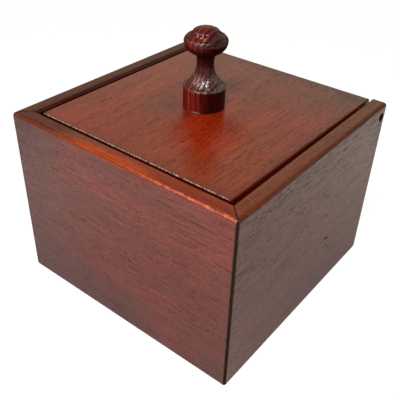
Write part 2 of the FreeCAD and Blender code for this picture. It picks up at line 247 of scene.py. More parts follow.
class KnobSettings(bpy.types.PropertyGroup):
    """Shape of the raised grain on the turned knob, and its finish."""

    layer_rise: length("Layer rise", "Height of a layer's middle over its edges", 0.00024)
    layer_lean: number("Layer lean", "How far the layers lean to the right as they rise", -0.05)
    layer_bend: number("Layer bend", "How far the layers bend to the right over the neck", 0.16)
    neck_height: length("Neck height", "Height over the foot where the neck begins", 0.015)
    fibre_rise: length("Fibre rise", "Height of the raised fibres", 0.00003)
    bead_rise: length("Bead rise", "Height of the beads in the lacquer", 0.00007)
    foot_bead: length("Foot bead", "Width of the bead of lacquer at the foot", 0.0004)
    level_step: length("Level step", "Distance between the turning's rings", 0.00012)
    segments: IntProperty(name="Segments", description="Faces round the turning", default=400, min=48)
    wood_light: colour("Light layers", "Palest growth layer", (0.400, 0.0200, 0.0070))
    # Darkest growth layer; also painted shade under the head and round the neck.
    wood_dark: colour("Dark layers", "Darkest growth layer", (0.020, 0.0015, 0.0008))
    # Painted sheen: grey speckle of glints on the knob's slopes.
    torn_grain: colour("Torn grain", "Fibres torn open on the slopes", (0.215, 0.1300, 0.1050))
    slope_colour: colour("Slopes", "Dark end grain on the slopes", (0.045, 0.0200, 0.0200))
    line_colour: colour("Late wood", "Thin line at the end of each growth layer", (0.012, 0.0015, 0.0010))
    pore_colour: colour("Pores", "Stain gathered in the pores", (0.008, 0.0015, 0.0010))
    # Painted highlight: the orange hot spot on the knob's head.
    fleck_colour: colour("Fleck", "Bare fleck on the head", (0.70, 0.10, 0.010))


class InnerWoodSettings(bpy.types.PropertyGroup):
    """Finish of the unstained wood inside the box."""

    wood_light: colour("Light wood", "Palest figure of the bare wood", (0.46, 0.25, 0.115))
    wood_dark: colour("Dark wood", "Darkest figure of the bare wood", (0.28, 0.125, 0.05))
    pore_colour: colour("Pores", "Pores of the bare wood", (0.11, 0.045, 0.02))


class MetalSettings(bpy.types.PropertyGroup):
    """Finish of the pins, the washer and the screw."""

    brass: colour("Brass", "Clean brass", (0.70, 0.46, 0.16))
    brass_tarnish: colour("Tarnished brass", "Brass where it has dulled", (0.26, 0.15, 0.06))
    steel: colour("Steel", "Clean steel", (0.56, 0.56, 0.55))
    steel_tarnish: colour("Dull steel", "Steel where it has dulled", (0.22, 0.21, 0.20))


class StageSettings(bpy.types.PropertyGroup):
    """Camera, lamps and floor."""

    aim: position("Aim", "Point the camera turns about", (0.0, 0.0, 0.035))
    azimuth: turning("Azimuth", "Camera's turn from the front towards the right", 37.104)
    elevation: turning("Elevation", "Camera's angle over the horizon", 35.423)
    roll: turning("Roll", "Camera's tilt about its own line of sight", 2.11)
    distance: length("Distance", "From the camera to the aim", 0.240910)
    slide: pair("Slide", "Camera's slide to its right and up", (-0.001293, -0.004258))
    lens: number("Lens", "Focal length", 52.842, subtype="DISTANCE_CAMERA")
    key_place: position("Key place", "Where the main lamp hangs", (0.065, -0.165, 0.33))
    key_size: pair("Key size", "Width and height of the main lamp", (0.14, 0.10))
    key_power: number("Key power", "Power of the main lamp", 0.95, unit="POWER")
    side_place: position("Side place", "Where the side lamp hangs", (-0.120, -0.27, 0.27))
    side_size: pair("Side size", "Width and height of the side lamp", (0.50, 0.07))
    side_power: number("Side power", "Power of the side lamp", 0.82, unit="POWER")
    sky: number("Sky", "Brightness of the surroundings towards the rear", 0.78)
    shade: number("Shade", "Brightness of the surroundings towards the front", 0.10)
    paper_glow: factor("Paper glow", "How bright the floor looks in the lacquer", 0.85)


class Nodes:
    """Builds the nodes of a material, of the surroundings or of a group."""

    def __init__(self, tree):
        self.tree = tree

    def feed(self, sockets, values):
        """Feed sockets with numbers or with other nodes' outputs."""
        for name, value in values.items():
            if isinstance(value, bpy.types.NodeSocket):
                self.tree.links.new(value, sockets[name])
            else:
                sockets[name].default_value = value

    def place(self, kind, inputs=None, **settings):
        """Add a shader node with its settings, and feed its inputs."""
        made = self.tree.nodes.new(f"ShaderNode{kind}")
        for name, value in settings.items():
            setattr(made, name, value)
        self.feed(made.inputs, inputs or {})
        return made

    def calc(self, operation, *values, clamp=False):
        return self.place("Math", dict(enumerate(values)), operation=operation, use_clamp=clamp).outputs[0]

    def plus(self, first, *others):
        for other in others:
            first = self.calc("ADD", first, other)
        return first

    def minus(self, first, second):
        return self.calc("SUBTRACT", first, second)

    def times(self, first, *others):
        for other in others:
            first = self.calc("MULTIPLY", first, other)
        return first

    def larger(self, first, second):
        return self.calc("MAXIMUM", first, second)

    def size_of(self, value):
        return self.calc("ABSOLUTE", value)

    def vector_node(self, operation, *values):
        return self.place("VectorMath", dict(enumerate(values)), operation=operation).outputs

    def vector_calc(self, operation, *values):
        return self.vector_node(operation, *values)["Vector"]

    def vector_value(self, operation, *values):
        return self.vector_node(operation, *values)["Value"]

    def scaled(self, vector, scale):
        return self.vector_calc("MULTIPLY", vector, scale)

    def split(self, vector):
        return self.place("SeparateXYZ", {0: vector}).outputs

    def spread(self, value, low, high, to_low=0.0, to_high=1.0):
        """Ease a value from one range to another."""
        ranges = {"Value": value, "From Min": low, "From Max": high, "To Min": to_low, "To Max": to_high}
        return self.place("MapRange", ranges, interpolation_type="SMOOTHSTEP").outputs["Result"]

    def ramp(self, value, low, width):
        """A straight rise from 0 to 1 over a width."""
        return self.calc("DIVIDE", self.minus(value, low), width, clamp=True)

    def mix(self, share, first, second, **settings):
        return self.place("Mix", {0: share, 6: first, 7: second}, data_type="RGBA", **settings).outputs[2]

    def speckle(self, vector, scale, detail=2.0, roughness=0.5):
        inputs = {"Vector": vector, "Scale": scale, "Detail": detail, "Roughness": roughness}
        return self.place("TexNoise", inputs).outputs["Fac"]

    def waver(self, uneven, swing):
        """An uneven value from 0 to 1 as a swing about 0."""
        return self.times(self.minus(uneven, 0.5), swing)

    def along_grain(self, spot, axis, offset):
        """A place on a piece in millimetres, turned so that the piece's grain runs along X."""
        scale = (1 / MM, 1 / MM, 1 / MM)
        inputs = {"Vector": spot, "Location": offset, "Rotation": ONTO_X[axis], "Scale": scale}
        return self.place("Mapping", inputs).outputs[0]

    def painted(self, name):
        """A value that the mesh holds at its points."""
        return self.place("Attribute", attribute_name=name).outputs["Fac"]

    def bump(self, height, distance, strength):
        inputs = {"Height": height, "Distance": distance, "Strength": strength}
        return self.place("Bump", inputs).outputs[0]

    def use_group(self, make, inputs):
        """The outputs of a shared node group, which is made the first time that it is used."""
        if make.__name__ not in bpy.data.node_groups:
            make()
        return self.place("Group", inputs, node_tree=bpy.data.node_groups[make.__name__]).outputs


def new_group(name, inputs, outputs):
    """Start a node group; gives it, its inputs as sockets to read and its outputs as sockets to feed."""
    group = bpy.data.node_groups.new(name, "ShaderNodeTree")
    for label, default in inputs.items():
        kind = "NodeSocketVector" if isinstance(default, tuple) else "NodeSocketFloat"
        socket = group.interface.new_socket(label, in_out="INPUT", socket_type=kind)
        socket.default_value = default
    for label in outputs:
        group.interface.new_socket(label, in_out="OUTPUT", socket_type="NodeSocketFloat")
    given, out = group.nodes.new("NodeGroupInput").outputs, group.nodes.new("NodeGroupOutput").inputs
    return Nodes(group), given, out


def timber_grain():
    """Figure, streaks and pores of a board whose grain runs along X, on a vector in millimetres."""
    inputs = {
        "Vector": ORIGIN,
        "Figure size": (45.0, 9.0, 9.0),
        "Streak size": (22.0, 0.6, 0.6),
        "Pore size": (3.4, 0.32, 0.32),
        "Pore share": 0.75,
    }
    group, given, out = new_group("timber_grain", inputs, ["Figure", "Streaks", "Sand", "Pores"])
    drift = group.speckle(group.scaled(given["Vector"], (0.018, 0.03, 0.03)), 1.0)
    shift = group.place("CombineXYZ", {"Y": group.waver(drift, 0.9)}).outputs[0]
    wavy = group.vector_calc("ADD", given["Vector"], shift)

    figure = group.speckle(group.vector_calc("DIVIDE", wavy, given["Figure size"]), 1.0)
    streaks = group.speckle(group.vector_calc("DIVIDE", wavy, given["Streak size"]), 1.0, 0.0)
    sand = group.speckle(group.scaled(wavy, (0.9, 2.6, 2.6)), 1.0, 1.0)
    vessel = group.vector_calc("DIVIDE", wavy, group.scaled(given["Pore size"], (7.0, 1.0, 1.0)))
    cell = group.vector_calc("DIVIDE", wavy, group.scaled(given["Pore size"], (1.0, 2.2, 2.2)))
    gate = group.minus(0.70, group.times(given["Pore share"], 0.22))
    pores = 0.0
    for size in (1.0, 1.8):
        line = group.ramp(group.speckle(vessel, size, 0.0), gate, 0.10)
        stretch = group.ramp(group.speckle(cell, size, 0.0), 0.44, 0.14)
        pores = group.larger(pores, group.times(line, stretch))
    group.feed(out, {
        "Figure": group.spread(figure, 0.28, 0.72),
        "Streaks": group.spread(streaks, 0.30, 0.72),
        "Sand": group.spread(sand, 0.30, 0.70),
        "Pores": pores,
    })


def rounded_arris():
    """Mask of the rounded edges between a board's flat faces."""
    group, given, out = new_group("rounded_arris", {"Normal": (0.0, 0.0, 1.0)}, ["Arris"])
    x, y, z = group.split(group.vector_calc("ABSOLUTE", given["Normal"]))
    most = group.larger(group.larger(x, y), z)
    group.feed(out, {"Arris": group.spread(most, 0.985, 0.80)})


def lacquer_skin():
    """Unevenness of a brushed lacquer: its height, and where it has dulled."""
    group, given, out = new_group("lacquer_skin", {"Vector": ORIGIN}, ["Height", "Dulled"])
    peel = group.speckle(given["Vector"], 1.1)
    brushed = group.speckle(group.scaled(given["Vector"], (0.05, 0.9, 0.9)), 1.0)
    clouds = group.speckle(given["Vector"], 0.06, 3.0, 0.6)
    height = group.plus(group.times(peel, 0.6), group.times(brushed, 0.4))
    group.feed(out, {"Height": height, "Dulled": group.spread(clouds, 0.35, 0.70)})


def rim_patches():
    """Mask of the brown patches on the rims, on a vector in millimetres."""
    group, given, out = new_group("rim_patches", {"Vector": ORIGIN}, ["Patches"])
    group.feed(out, {"Patches": group.spread(group.speckle(given["Vector"], 0.5, 4.0, 0.70), 0.38, 0.61)})


def mitre_joint():
    """Mask of the dark line where two walls meet in a mitre, over the rim and down the corner."""
    group, given, out = new_group("mitre_joint", {"Place": ORIGIN, "Width": 1.5 * MM}, ["Joint"])
    x, y, z = group.split(given["Place"])
    off = group.size_of(group.plus(group.size_of(x), y))
    uneven = group.waver(group.speckle(given["Place"], 1200.0), 0.4 * MM)
    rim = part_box("front_wall")[1].z
    narrowed = group.spread(z, rim - 1.5 * MM, rim - 0.2 * MM, 1.0, 0.40)
    half = group.times(narrowed, given["Width"], 0.7)
    share = group.calc("DIVIDE", group.plus(off, uneven), half)
    group.feed(out, {"Joint": group.spread(share, 1.0, 0.55)})


def pin_bore():
    """Mask of the bore that a pin along X is sunk in, painted dark as shade in the recess."""
    inputs = {"Place": ORIGIN, "Pin": ORIGIN, "Radius": 1.5 * MM}
    group, given, out = new_group("pin_bore", inputs, ["Bore"])
    off = group.vector_calc("SUBTRACT", given["Place"], given["Pin"])
    away = group.vector_value("LENGTH", group.scaled(off, (0.0, 1.0, 1.0)))
    beyond = group.minus(away, given["Radius"])
    group.feed(out, {"Bore": group.spread(beyond, 0.2 * MM, 0.05 * MM, 0.0, 0.9)})


def inner_faces():
    """Mask of the walls' faces inside the closed box."""
    group, given, out = new_group("inner_faces", {"Place": ORIGIN}, ["Inside"])
    x, y, z = group.split(given["Place"])
    near = 0.2 * MM
    limits = (
        ("GREATER_THAN", x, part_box("left_wall")[1].x - near),
        ("LESS_THAN", x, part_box("right_wall")[0].x + near),
        ("GREATER_THAN", y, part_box("front_wall")[1].y - near),
        ("LESS_THAN", y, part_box("rear_wall")[0].y + near),
        ("LESS_THAN", z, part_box("lid_panel")[0].z),
    )
    group.feed(out, {"Inside": group.times(*(group.calc(*limit) for limit in limits))})


def turned_metal():
    """Fine turning lines round X and patches of tarnish on a metal piece, on a vector in millimetres."""
    group, given, out = new_group("turned_metal", {"Vector": ORIGIN}, ["Lines", "Tarnish"])
    lines = group.speckle(group.scaled(given["Vector"], (9.0, 0.2, 0.2)), 1.0, 2.0, 0.6)
    patches = group.speckle(given["Vector"], 0.45, 4.0, 0.6)
    group.feed(out, {"Lines": lines, "Tarnish": group.spread(patches, 0.42, 0.68)})


def new_material(name):
    """A material with its Principled shader, and the place and facing on the piece."""
    material = bpy.data.materials.new(name)
    material.use_nodes = True
    material.node_tree.nodes.clear()
    tree = Nodes(material.node_tree)
    shader = tree.place("BsdfPrincipled")
    tree.place("OutputMaterial", {"Surface": shader.outputs["BSDF"]})
    coords = tree.place("TexCoord").outputs
    return material, tree, shader, coords


def toned(stain, share):
    """A stain made paler or darker by a share."""
    return tuple(min(part * share, 1.0) for part in stain[:3]) + (1.0,)


def grain_size(along, across):
    return along / MM, across / MM, across / MM


class Board(Nodes):
    """A stained board's material, with the places, facings and grain that its finish is mixed by."""

    def __init__(self, node, settings):
        axis, offset, face = BOARDS[node]
        self.material, tree, self.shader, coords = new_material(f"{node}_stain")
        super().__init__(tree.tree)
        self.node = node
        self.settings = settings
        self.stain = getattr(settings, face)
        self.spot = coords["Object"]
        self.x, self.y, self.z = self.split(self.spot)
        self.facing = self.split(coords["Normal"])
        self.vector = self.along_grain(self.spot, axis, offset)
        pore_length = settings.pore_length if node == "lid_panel" else settings.wall_pore_length
        self.grain = self.use_group(timber_grain, {
            "Vector": self.vector,
            "Figure size": grain_size(settings.figure_length, settings.figure_width),
            "Streak size": grain_size(settings.streak_length, settings.streak_width),
            "Pore size": grain_size(pore_length, settings.pore_width),
        })
        self.skin = self.use_group(lacquer_skin, {"Vector": self.vector})
        self.arris = self.use_group(rounded_arris, {"Normal": coords["Normal"]})["Arris"]
        if node in RIMS:
            self.topside = self.spread(self.facing[2], *RIMS[node][3])

    def away_from(self, point):
        return self.vector_value("DISTANCE", self.spot, point)


def face_stain(board):
    """Stain on a board's faces, lighter and darker along its figure."""
    depth = board.settings.figure_depth
    return board.mix(board.grain["Figure"], toned(board.stain, 1 - depth), toned(board.stain, 1 + depth))


def clouded(board, stain):
    """A stain with the board's clouds, whose outlines are uneven; on the front wall they are painted shade.
    """
    uneven = board.place("TexNoise", {"Vector": board.vector, "Scale": 0.2}).outputs["Color"]
    moved = board.vector_calc("ADD", board.spot, board.scaled(uneven, (6 * MM, 6 * MM, 6 * MM)))
    for centre, reach, cloud, strength in CLOUDS[board.node]:
        away = board.vector_value("DISTANCE", moved, centre)
        share = board.spread(away, reach, 0.0, 0.0, strength)
        stain = board.mix(share, stain, getattr(board.settings, cloud))
    return stain


def rim_stain(board):
    """Stain on a wall's rim, with brown patches."""
    stain, olive_share = RIMS[board.node][:2]
    patches = board.use_group(rim_patches, {"Vector": board.vector})["Patches"]
    olive = board.times(patches, olive_share)
    if board.node == "front_wall":
        olive = board.times(olive, board.spread(board.x, -25 * MM, 5 * MM, 1.0, 0.15))
    elif board.node == "right_wall":
        olive = board.times(olive, board.spread(board.y, -45 * MM, 20 * MM, 0.8, 1.2))
    stain = board.mix(olive, getattr(board.settings, stain), board.settings.rim_olive)
    if board.node == "front_wall":
        # Painted shade on the outer part of the front rim's top, towards the right.
        outer = board.spread(board.y, FRONT_FACE + 4.5 * MM, FRONT_FACE + 2.5 * MM)
        shaded = board.times(outer, board.spread(board.x, 15 * MM, 38 * MM, 0.0, 0.45))
        stain = board.mix(shaded, stain, board.settings.dark_cloud)
    return stain


def worn_band(board, patchy):
    """Mask of the paler band along the front rim's outer edge, narrow at its ends and weak at the left:
    wear, and painted light where the rounded edge faces the lamps.
    """
    low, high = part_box("front_wall")
    uneven = board.waver(patchy, 2.5 * MM)
    aside = board.size_of(board.plus(board.x, 2 * MM))
    narrowed = board.spread(aside, 8 * MM, 24 * MM, -0.6 * MM, 2.2 * MM)
    inward = board.plus(board.y, uneven, narrowed)
    outer = board.spread(inward, high.y - 2.2 * MM, low.y + 1.0 * MM)
    along = board.spread(board.plus(board.x, uneven), low.x + 8 * MM, low.x + 40 * MM, 0.50, 1.0)
    return board.times(outer, along, board.spread(board.facing[2], 0.02, 0.25))


def bare_and_highlit_edge(board, patchy):
    """Mask of the spots rubbed bare on the outer arris of the front rim, most of them to the right; they
    also serve as a painted highlight.
    """
    along = board.spread(board.x, -5 * MM, 45 * MM, 0.12, 0.95)
    spots = board.spread(board.speckle(board.spot, 900.0, 2.0, 0.6), 0.44, 0.58, 0.20, 1.0)
    upward = board.spread(board.facing[2], 0.30, 0.50)
    forward = board.spread(board.facing[1], -0.30, -0.50)
    return board.times(along, upward, forward, spots, board.spread(patchy, 0.35, 0.60, 0.4, 1.0))


def brown_end(board, patchy):
    """Mask of the brown stain on the left end of the front rim, whose edge runs aslant."""
    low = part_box("front_wall")[0]
    inward = board.times(board.minus(board.y, low.y), 1.5)
    along = board.plus(board.minus(board.x, inward), board.waver(patchy, 6 * MM))
    end = board.spread(along, low.x + 24 * MM, low.x + 17 * MM, 0.0, 0.92)
    return board.times(end, board.spread(board.facing[2], 0.55, 0.85))


def front_edges(board, stain):
    """Wear, painted light and a painted highlight on the edges of the front rim; gives the stain and the
    share of the lacquer kept.
    """
    settings = board.settings
    patchy = board.speckle(board.vector, 0.35, 3.0)
    stain = board.mix(worn_band(board, patchy), stain, settings.worn_edge)
    stain = board.mix(bare_and_highlit_edge(board, patchy), stain, settings.bare_and_highlit_edge)
    brown = brown_end(board, patchy)
    stain = board.mix(brown, stain, settings.left_rim)
    dulled = board.times(board.arris, board.spread(board.x, 45 * MM, -5 * MM, 0.0, 0.85))
    kept = board.times(board.spread(brown, 0.0, 1.0, 1.0, 0.70), board.minus(1.0, dulled))
    return stain, kept


def left_edges(board, stain):
    """Painted shade on the left wall's inner side, in the dark edge colour; gives the stain and the share
    of the lacquer kept.
    """
    # Painted shade: the faces turned to the right, into the gap over the lid, are made nearly black.
    inner = board.spread(board.facing[0], 0.25, 0.75, 0.0, 0.97)
    return board.mix(inner, stain, board.settings.dark_edge), 1.0


def rear_edges(board, stain):
    """Dark stain gathered on the rim's edges; gives the stain and the share of the lacquer kept."""
    gathered = board.times(board.arris, board.spread(board.facing[2], 0.2, 0.4, 0.0, 0.22))
    rightward = board.times(board.x, board.topside)
    outer = board.spread(rightward, RIGHT_FACE - 4.5 * MM, RIGHT_FACE - 0.5 * MM, 0.0, 0.14)
    return board.mix(board.larger(gathered, outer), stain, board.settings.dark_edge), 1.0


def right_edges(board, stain):
    """Edges like the rear wall's, with the lacquer rubbed thin on the outer arris."""
    stain = rear_edges(board, stain)[0]
    upward = board.spread(board.facing[2], 0.05, 0.25)
    outward = board.spread(board.facing[0], 0.10, 0.40)
    return stain, board.spread(board.times(upward, outward), 0.0, 1.0, 1.0, 0.45)


WALL_EDGES = {
    "front_wall": front_edges,
    "rear_wall": rear_edges,
    "left_wall": left_edges,
    "right_wall": right_edges,
}


def lid_edges(board, stain):
    """The lid's dark margins, its upright sides painted darker as shade, and the dark arris along its
    front.
    """
    settings = board.settings
    low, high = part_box("lid_panel")
    front = board.spread(board.y, low.y + 6 * MM, low.y, 0.0, 0.35)
    right = board.spread(board.x, high.x - 5 * MM, high.x - 0.5 * MM, 0.0, 0.75)
    stain = board.mix(board.larger(front, right), stain, settings.dark_cloud)
    # Painted shade: the upright sides take darker copies of the stain, the right-facing side less dark.
    upright = board.spread(board.size_of(board.facing[2]), 0.5, 0.2)
    rightward = board.spread(board.facing[0], 0.3, 0.7)
    side = board.mix(rightward, toned(board.stain, 0.25), toned(board.stain, 0.85))
    stain = board.mix(upright, stain, side)
    wider = board.spread(board.x, 20 * MM, high.x, 0.0, 3 * MM)
    rear = board.spread(board.plus(board.y, wider), high.y - 7 * MM, high.y, 0.0, 0.45)
    stain = board.mix(rear, stain, settings.dark_edge)
    front_arris = board.times(board.arris, board.spread(board.facing[1], -0.1, -0.4))
    return board.mix(front_arris, stain, settings.dark_edge)


def grained(board, stain, pores):
    """A stain with fine streaks, uneven sanding and pores."""
    stain = board.mix(board.times(board.grain["Streaks"], 0.30), stain, toned(board.stain, 0.45))
    sand = board.mix(board.grain["Sand"], (0.76, 0.76, 0.80, 1.0), (1.24, 1.22, 1.18, 1.0))
    stain = board.mix(0.75, stain, sand, blend_type="MULTIPLY")
    return board.mix(board.times(pores, board.settings.pore_depth), stain, board.settings.pore_colour)


def stopped_hole(board):
    """Mask of the specks round a stopped hole in the right wall, and of one open pore over it."""
    specks = 0.0
    for across, up, reach in SPECKS:
        away = board.away_from((RIGHT_FACE, across * MM, up * MM))
        specks = board.larger(specks, board.spread(away, reach * MM, reach * MM * 0.4))
    return specks


def wall_marks(board, stain):
    """The specks, bores and joints of a wall, the bores painted dark as shade; gives the stain and a mask
    of where the lacquer is broken.
    """
    marks = stopped_hole(board) if board.node == "right_wall" else 0.0
    if board.node in HINGE_PINS:
        low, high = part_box(HINGE_PINS[board.node])
        pin = {"Place": board.spot, "Pin": (low + high) / 2, "Radius": (high.z - low.z) / 2}
        bore = board.use_group(pin_bore, pin)["Bore"]
        # Painted shade in the bore.
        stain = board.mix(bore, stain, board.settings.dark_edge)
        marks = board.larger(marks, bore)
    mitre = {"Place": board.spot, "Width": board.settings.joint_width}
    joint = board.use_group(mitre_joint, mitre)["Joint"]
    stain = board.mix(joint, stain, board.settings.joint_colour)
    return stain, board.larger(marks, board.times(joint, 0.75))


def lacquered(board, stain, pores, broken, inside, kept):
    """Finish a board: thin stain inside, and outside the stain under lacquer, thin where it is broken."""
    settings = board.settings
    thin = settings.inside_stain
    thin = board.mix(board.grain["Figure"], toned(thin, 0.7), toned(thin, 1.25))
    thin = board.mix(board.times(board.grain["Pores"], 0.6), thin, settings.pore_colour)
    height = board.minus(board.times(board.skin["Height"], 0.8), board.times(pores, 0.6))
    bare = board.plus(board.times(pores, settings.pore_gap), broken)
    lacquer = board.calc("SUBTRACT", board.minus(1.0, inside), bare, clamp=True)
    board.feed(board.shader.inputs, {
        "Base Color": board.mix(inside, stain, thin),
        "Roughness": board.plus(0.40, board.times(board.skin["Dulled"], 0.15), board.times(inside, 0.20)),
        "Normal": board.bump(height, 0.05 * MM, 0.7),
        "Specular IOR Level": 0.0,
        "Coat Weight": board.times(lacquer, kept),
        "Coat Roughness": settings.gloss,
        "Coat IOR": 1.7,
    })
    return board.material


def stained_wall(node, settings):
    """Red stain under lacquer, with its own tones on the rim, the rounded edges and inside the box."""
    board = Board(node, settings)
    rim_shine = RIMS[node][2]
    stain = face_stain(board)
    if node in CLOUDS:
        stain = clouded(board, stain)
    stain = board.mix(board.topside, stain, rim_stain(board))
    stain, kept = WALL_EDGES[node](board, stain)
    pores = board.times(board.grain["Pores"], board.spread(board.topside, 0.0, 1.0, 0.86, 0.50))
    if node == "right_wall":
        pores = board.times(pores, board.spread(board.z, 30 * MM, 66 * MM, 0.8, 1.6))
    stain, marks = wall_marks(board, grained(board, stain, pores))
    streaky = 0.17 if node == "front_wall" else 0.10
    broken = board.plus(marks, board.times(board.grain["Streaks"], streaky))
    inside = board.use_group(inner_faces, {"Place": board.spot})["Inside"]
    shine = board.minus(1.0, board.times(board.topside, 1.0 - rim_shine))
    return lacquered(board, stain, pores, broken, inside, board.times(shine, kept))


def stained_lid(settings):
    """Red stain in clouds under lacquer, rubbed in front of the knob, and thin stain underneath."""
    board = Board("lid_panel", settings)
    pores = board.grain["Pores"]
    stain = grained(board, lid_edges(board, clouded(board, face_stain(board))), pores)
    rubbed = board.spread(board.away_from((11 * MM, -14 * MM, LID_TOP)), 20 * MM, 6 * MM, 0.0, 0.50)
    broken = board.larger(rubbed, board.times(board.arris, 0.6))
    inside = board.spread(board.facing[2], -0.7, -0.95)
    return lacquered(board, stain, pores, broken, inside, 1.0)


def bare_wood(name, axis, offset, settings):
    """Unstained wood with an oiled surface."""
    material, tree, shader, coords = new_material(name)
    vector = tree.along_grain(coords["Object"], axis, offset)
    grain = tree.use_group(timber_grain, {
        "Vector": vector,
        "Figure size": (50.0, 7.0, 7.0),
        "Pore size": (2.2, 0.22, 0.22),
        "Pore share": 0.4,
    })
    wood = tree.mix(grain["Figure"], settings.wood_dark, settings.wood_light)
    wood = tree.mix(tree.times(grain["Streaks"], 0.35), wood, settings.wood_dark)
    height = tree.minus(tree.times(grain["Streaks"], 0.4), grain["Pores"])
    tree.feed(shader.inputs, {
        "Base Color": tree.mix(tree.times(grain["Pores"], 0.7), wood, settings.pore_colour),
        "Roughness": tree.spread(grain["Streaks"], 0.0, 1.0, 0.50, 0.68),
        "Normal": tree.bump(height, 0.06 * MM, 0.7),
    })
    return material


def worked_metal(name, axis, clean, tarnished):
    """Metal with turning lines and patches of tarnish."""
    material, tree, shader, coords = new_material(name)
    wear = tree.use_group(turned_metal, {"Vector": tree.along_grain(coords["Object"], axis, ORIGIN)})
    dulled = tree.spread(wear["Tarnish"], 0.0, 1.0, 0.22, 0.45)
    tree.feed(shader.inputs, {
        "Base Color": tree.mix(wear["Tarnish"], clean, tarnished),
        "Metallic": 1.0,
        "Roughness": tree.plus(dulled, tree.times(wear["Lines"], 0.12)),
        "Normal": tree.bump(wear["Lines"], 0.02 * MM, 0.5),
    })
    return material


def skin_rings(mesh, rings):
    """Join rings of points into a closed skin."""
    for lower, upper in zip(rings, rings[1:]):
        for index in range(len(lower)):
            after = (index + 1) % len(lower)
            mesh.faces.new((lower[index], lower[after], upper[after], upper[index]))
    mesh.faces.new(list(reversed(rings[0])))
    mesh.faces.new(rings[-1])


def add_piece(scene, name, mesh, material):
    """Put a finished mesh in the scene."""
    data = bpy.data.meshes.new(name)
    mesh.to_mesh(data)
    mesh.free()
    data.shade_smooth()
    data.materials.append(material)
    piece = bpy.data.objects.new(name, data)
    scene.collection.objects.link(piece)
    return piece


def dress(node, material):
    """Give a piece of the frame its finish."""
    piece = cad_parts[node]
    piece.data.materials.clear()
    piece.data.materials.append(material)


class PUZZLEBOX_OT_walls(bpy.types.Operator):
    """Stain and lacquer the four walls, with dark glue lines at the mitres"""

    bl_idname = "puzzlebox.walls"
    bl_label = "Finish walls"

    def execute(self, context):
        settings = context.scene.puzzlebox_boards
        for node in RIMS:
            dress(node, stained_wall(node, settings))
        return {"FINISHED"}


class PUZZLEBOX_OT_lid(bpy.types.Operator):
    """Stain and lacquer the lid board"""

    bl_idname = "puzzlebox.lid"
    bl_label = "Finish lid"

    def execute(self, context):
        settings = context.scene.puzzlebox_boards
        dress("lid_panel", stained_lid(settings))
        self.lay_bead(context.scene, settings)
        return {"FINISHED"}

    def lay_bead(self, scene, settings):
        """A thin uneven bead of lacquer that has dried along the lid's front edge."""
        low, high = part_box("lid_panel")
        start, end = low.x + 0.8 * MM, high.x - 1.8 * MM
        sunk = settings.bead_radius * 0.8
        sides = 10
        count = round((end - start) / settings.bead_step)
        mesh = bmesh.new()
        glint_layer = mesh.verts.layers.float.new("dried_nib")
        rings = []
        for index in range(count + 1):
            x = start + (end - start) * index / count
            ripple = 0.55 * noise.noise(Vector((x * 2100, 0.0, 0.0)))
            swell = 0.75 + ripple + 0.25 * noise.noise(Vector((x * 500, 9.0, 0.0)))
            radius = settings.bead_radius * max(0.25, swell)
            ring = []
            for side in range(sides):
                angle = 2 * math.pi * side / sides
                y = low.y + sunk + radius * math.cos(angle)
                z = high.z - sunk + radius * math.sin(angle)
                vert = mesh.verts.new((x, y, z))
                # Painted glint where the bead swells.
                vert[glint_layer] = max(0.0, min(1.0, (swell - 0.6) / 0.25))
                ring.append(vert)
            rings.append(ring)
        skin_rings(mesh, rings)
        bead = add_piece(scene, "lacquer_bead", mesh, self.bead_lacquer(settings))
        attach(bead, "lid")

    def bead_lacquer(self, settings):
        """Dark stain under thick glossy lacquer, with pale painted glints where the bead swells."""
        material, tree, shader, coords = new_material("bead_lacquer")
        vector = tree.along_grain(coords["Object"], "X", (5.0, 2.0, 0.0))
        skin = tree.use_group(lacquer_skin, {"Vector": vector})
        stain = tree.mix(skin["Height"], settings.pore_colour, toned(settings.lid_stain, 0.5))
        tree.feed(shader.inputs, {
            "Base Color": tree.mix(tree.painted("dried_nib"), stain, settings.dried_nib),
            "Roughness": tree.spread(skin["Dulled"], 0.0, 1.0, 0.10, 0.22),
            "IOR": 1.6,
            "Normal": tree.bump(skin["Height"], 0.02 * MM, 0.5),
        })
        return material


def turned_profile(node, step):
    """Heights and radii of a turned piece, felt from the side at each level."""
    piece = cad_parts[node]
    low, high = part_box(node)
    axis = (low + high) / 2
    reach = (high.x - low.x) * 2
    points = [vertex.co for vertex in piece.data.vertices]
    tree = BVHTree.FromPolygons(points, [polygon.vertices for polygon in piece.data.polygons])
    count = round((high.z - low.z) / step)
    profile = []
    for index in range(count + 1):
        z = low.z + (high.z - low.z) * index / count
        felt = min(max(z, low.z + step / 20), high.z - step / 20)
        hit = tree.ray_cast(Vector((axis.x - reach, axis.y, felt)), Vector((1.0, 0.0, 0.0)))
        if hit[0] is None:
            raise RuntimeError(f"the turning has no surface at height {z}")
        profile.append((axis.x - hit[0].x, z))
    return axis, eased(profile, round(1.0 * MM / step))


def eased(profile, reach):
    """A profile whose neck runs softly into what is under and over it."""
    first, last = len(profile) // 4, len(profile) * 3 // 4
    neck = min(radius for radius, z in profile[first:last])
    soft = []
    for level, (radius, z) in enumerate(profile):
        if first <= level < last and radius < 1.45 * neck:
            near = [other[0] for other in profile[max(level - reach, 0):level + reach + 1]]
            radius = sum(near) / len(near)
        soft.append((radius, z))
    return soft


def growth_layer(x):
    """The paleness of the growth layer at a place across the knob, the share of the layer that lies to the
    left of the place, and the distance to the layer's nearer edge in millimetres."""
    left = FIRST_LAYER_LEFT
    for right, pale in GROWTH_LAYERS:
        if x < right:
            return pale, (x - left) / (right - left), min(x - left, right - x)
        left = right
    return GROWTH_LAYERS[-1][1], 1.0, 0.0


def grit(spot):
    """A fine unevenness from 0 to 1."""
    return 0.5 + 0.5 * noise.noise(spot)


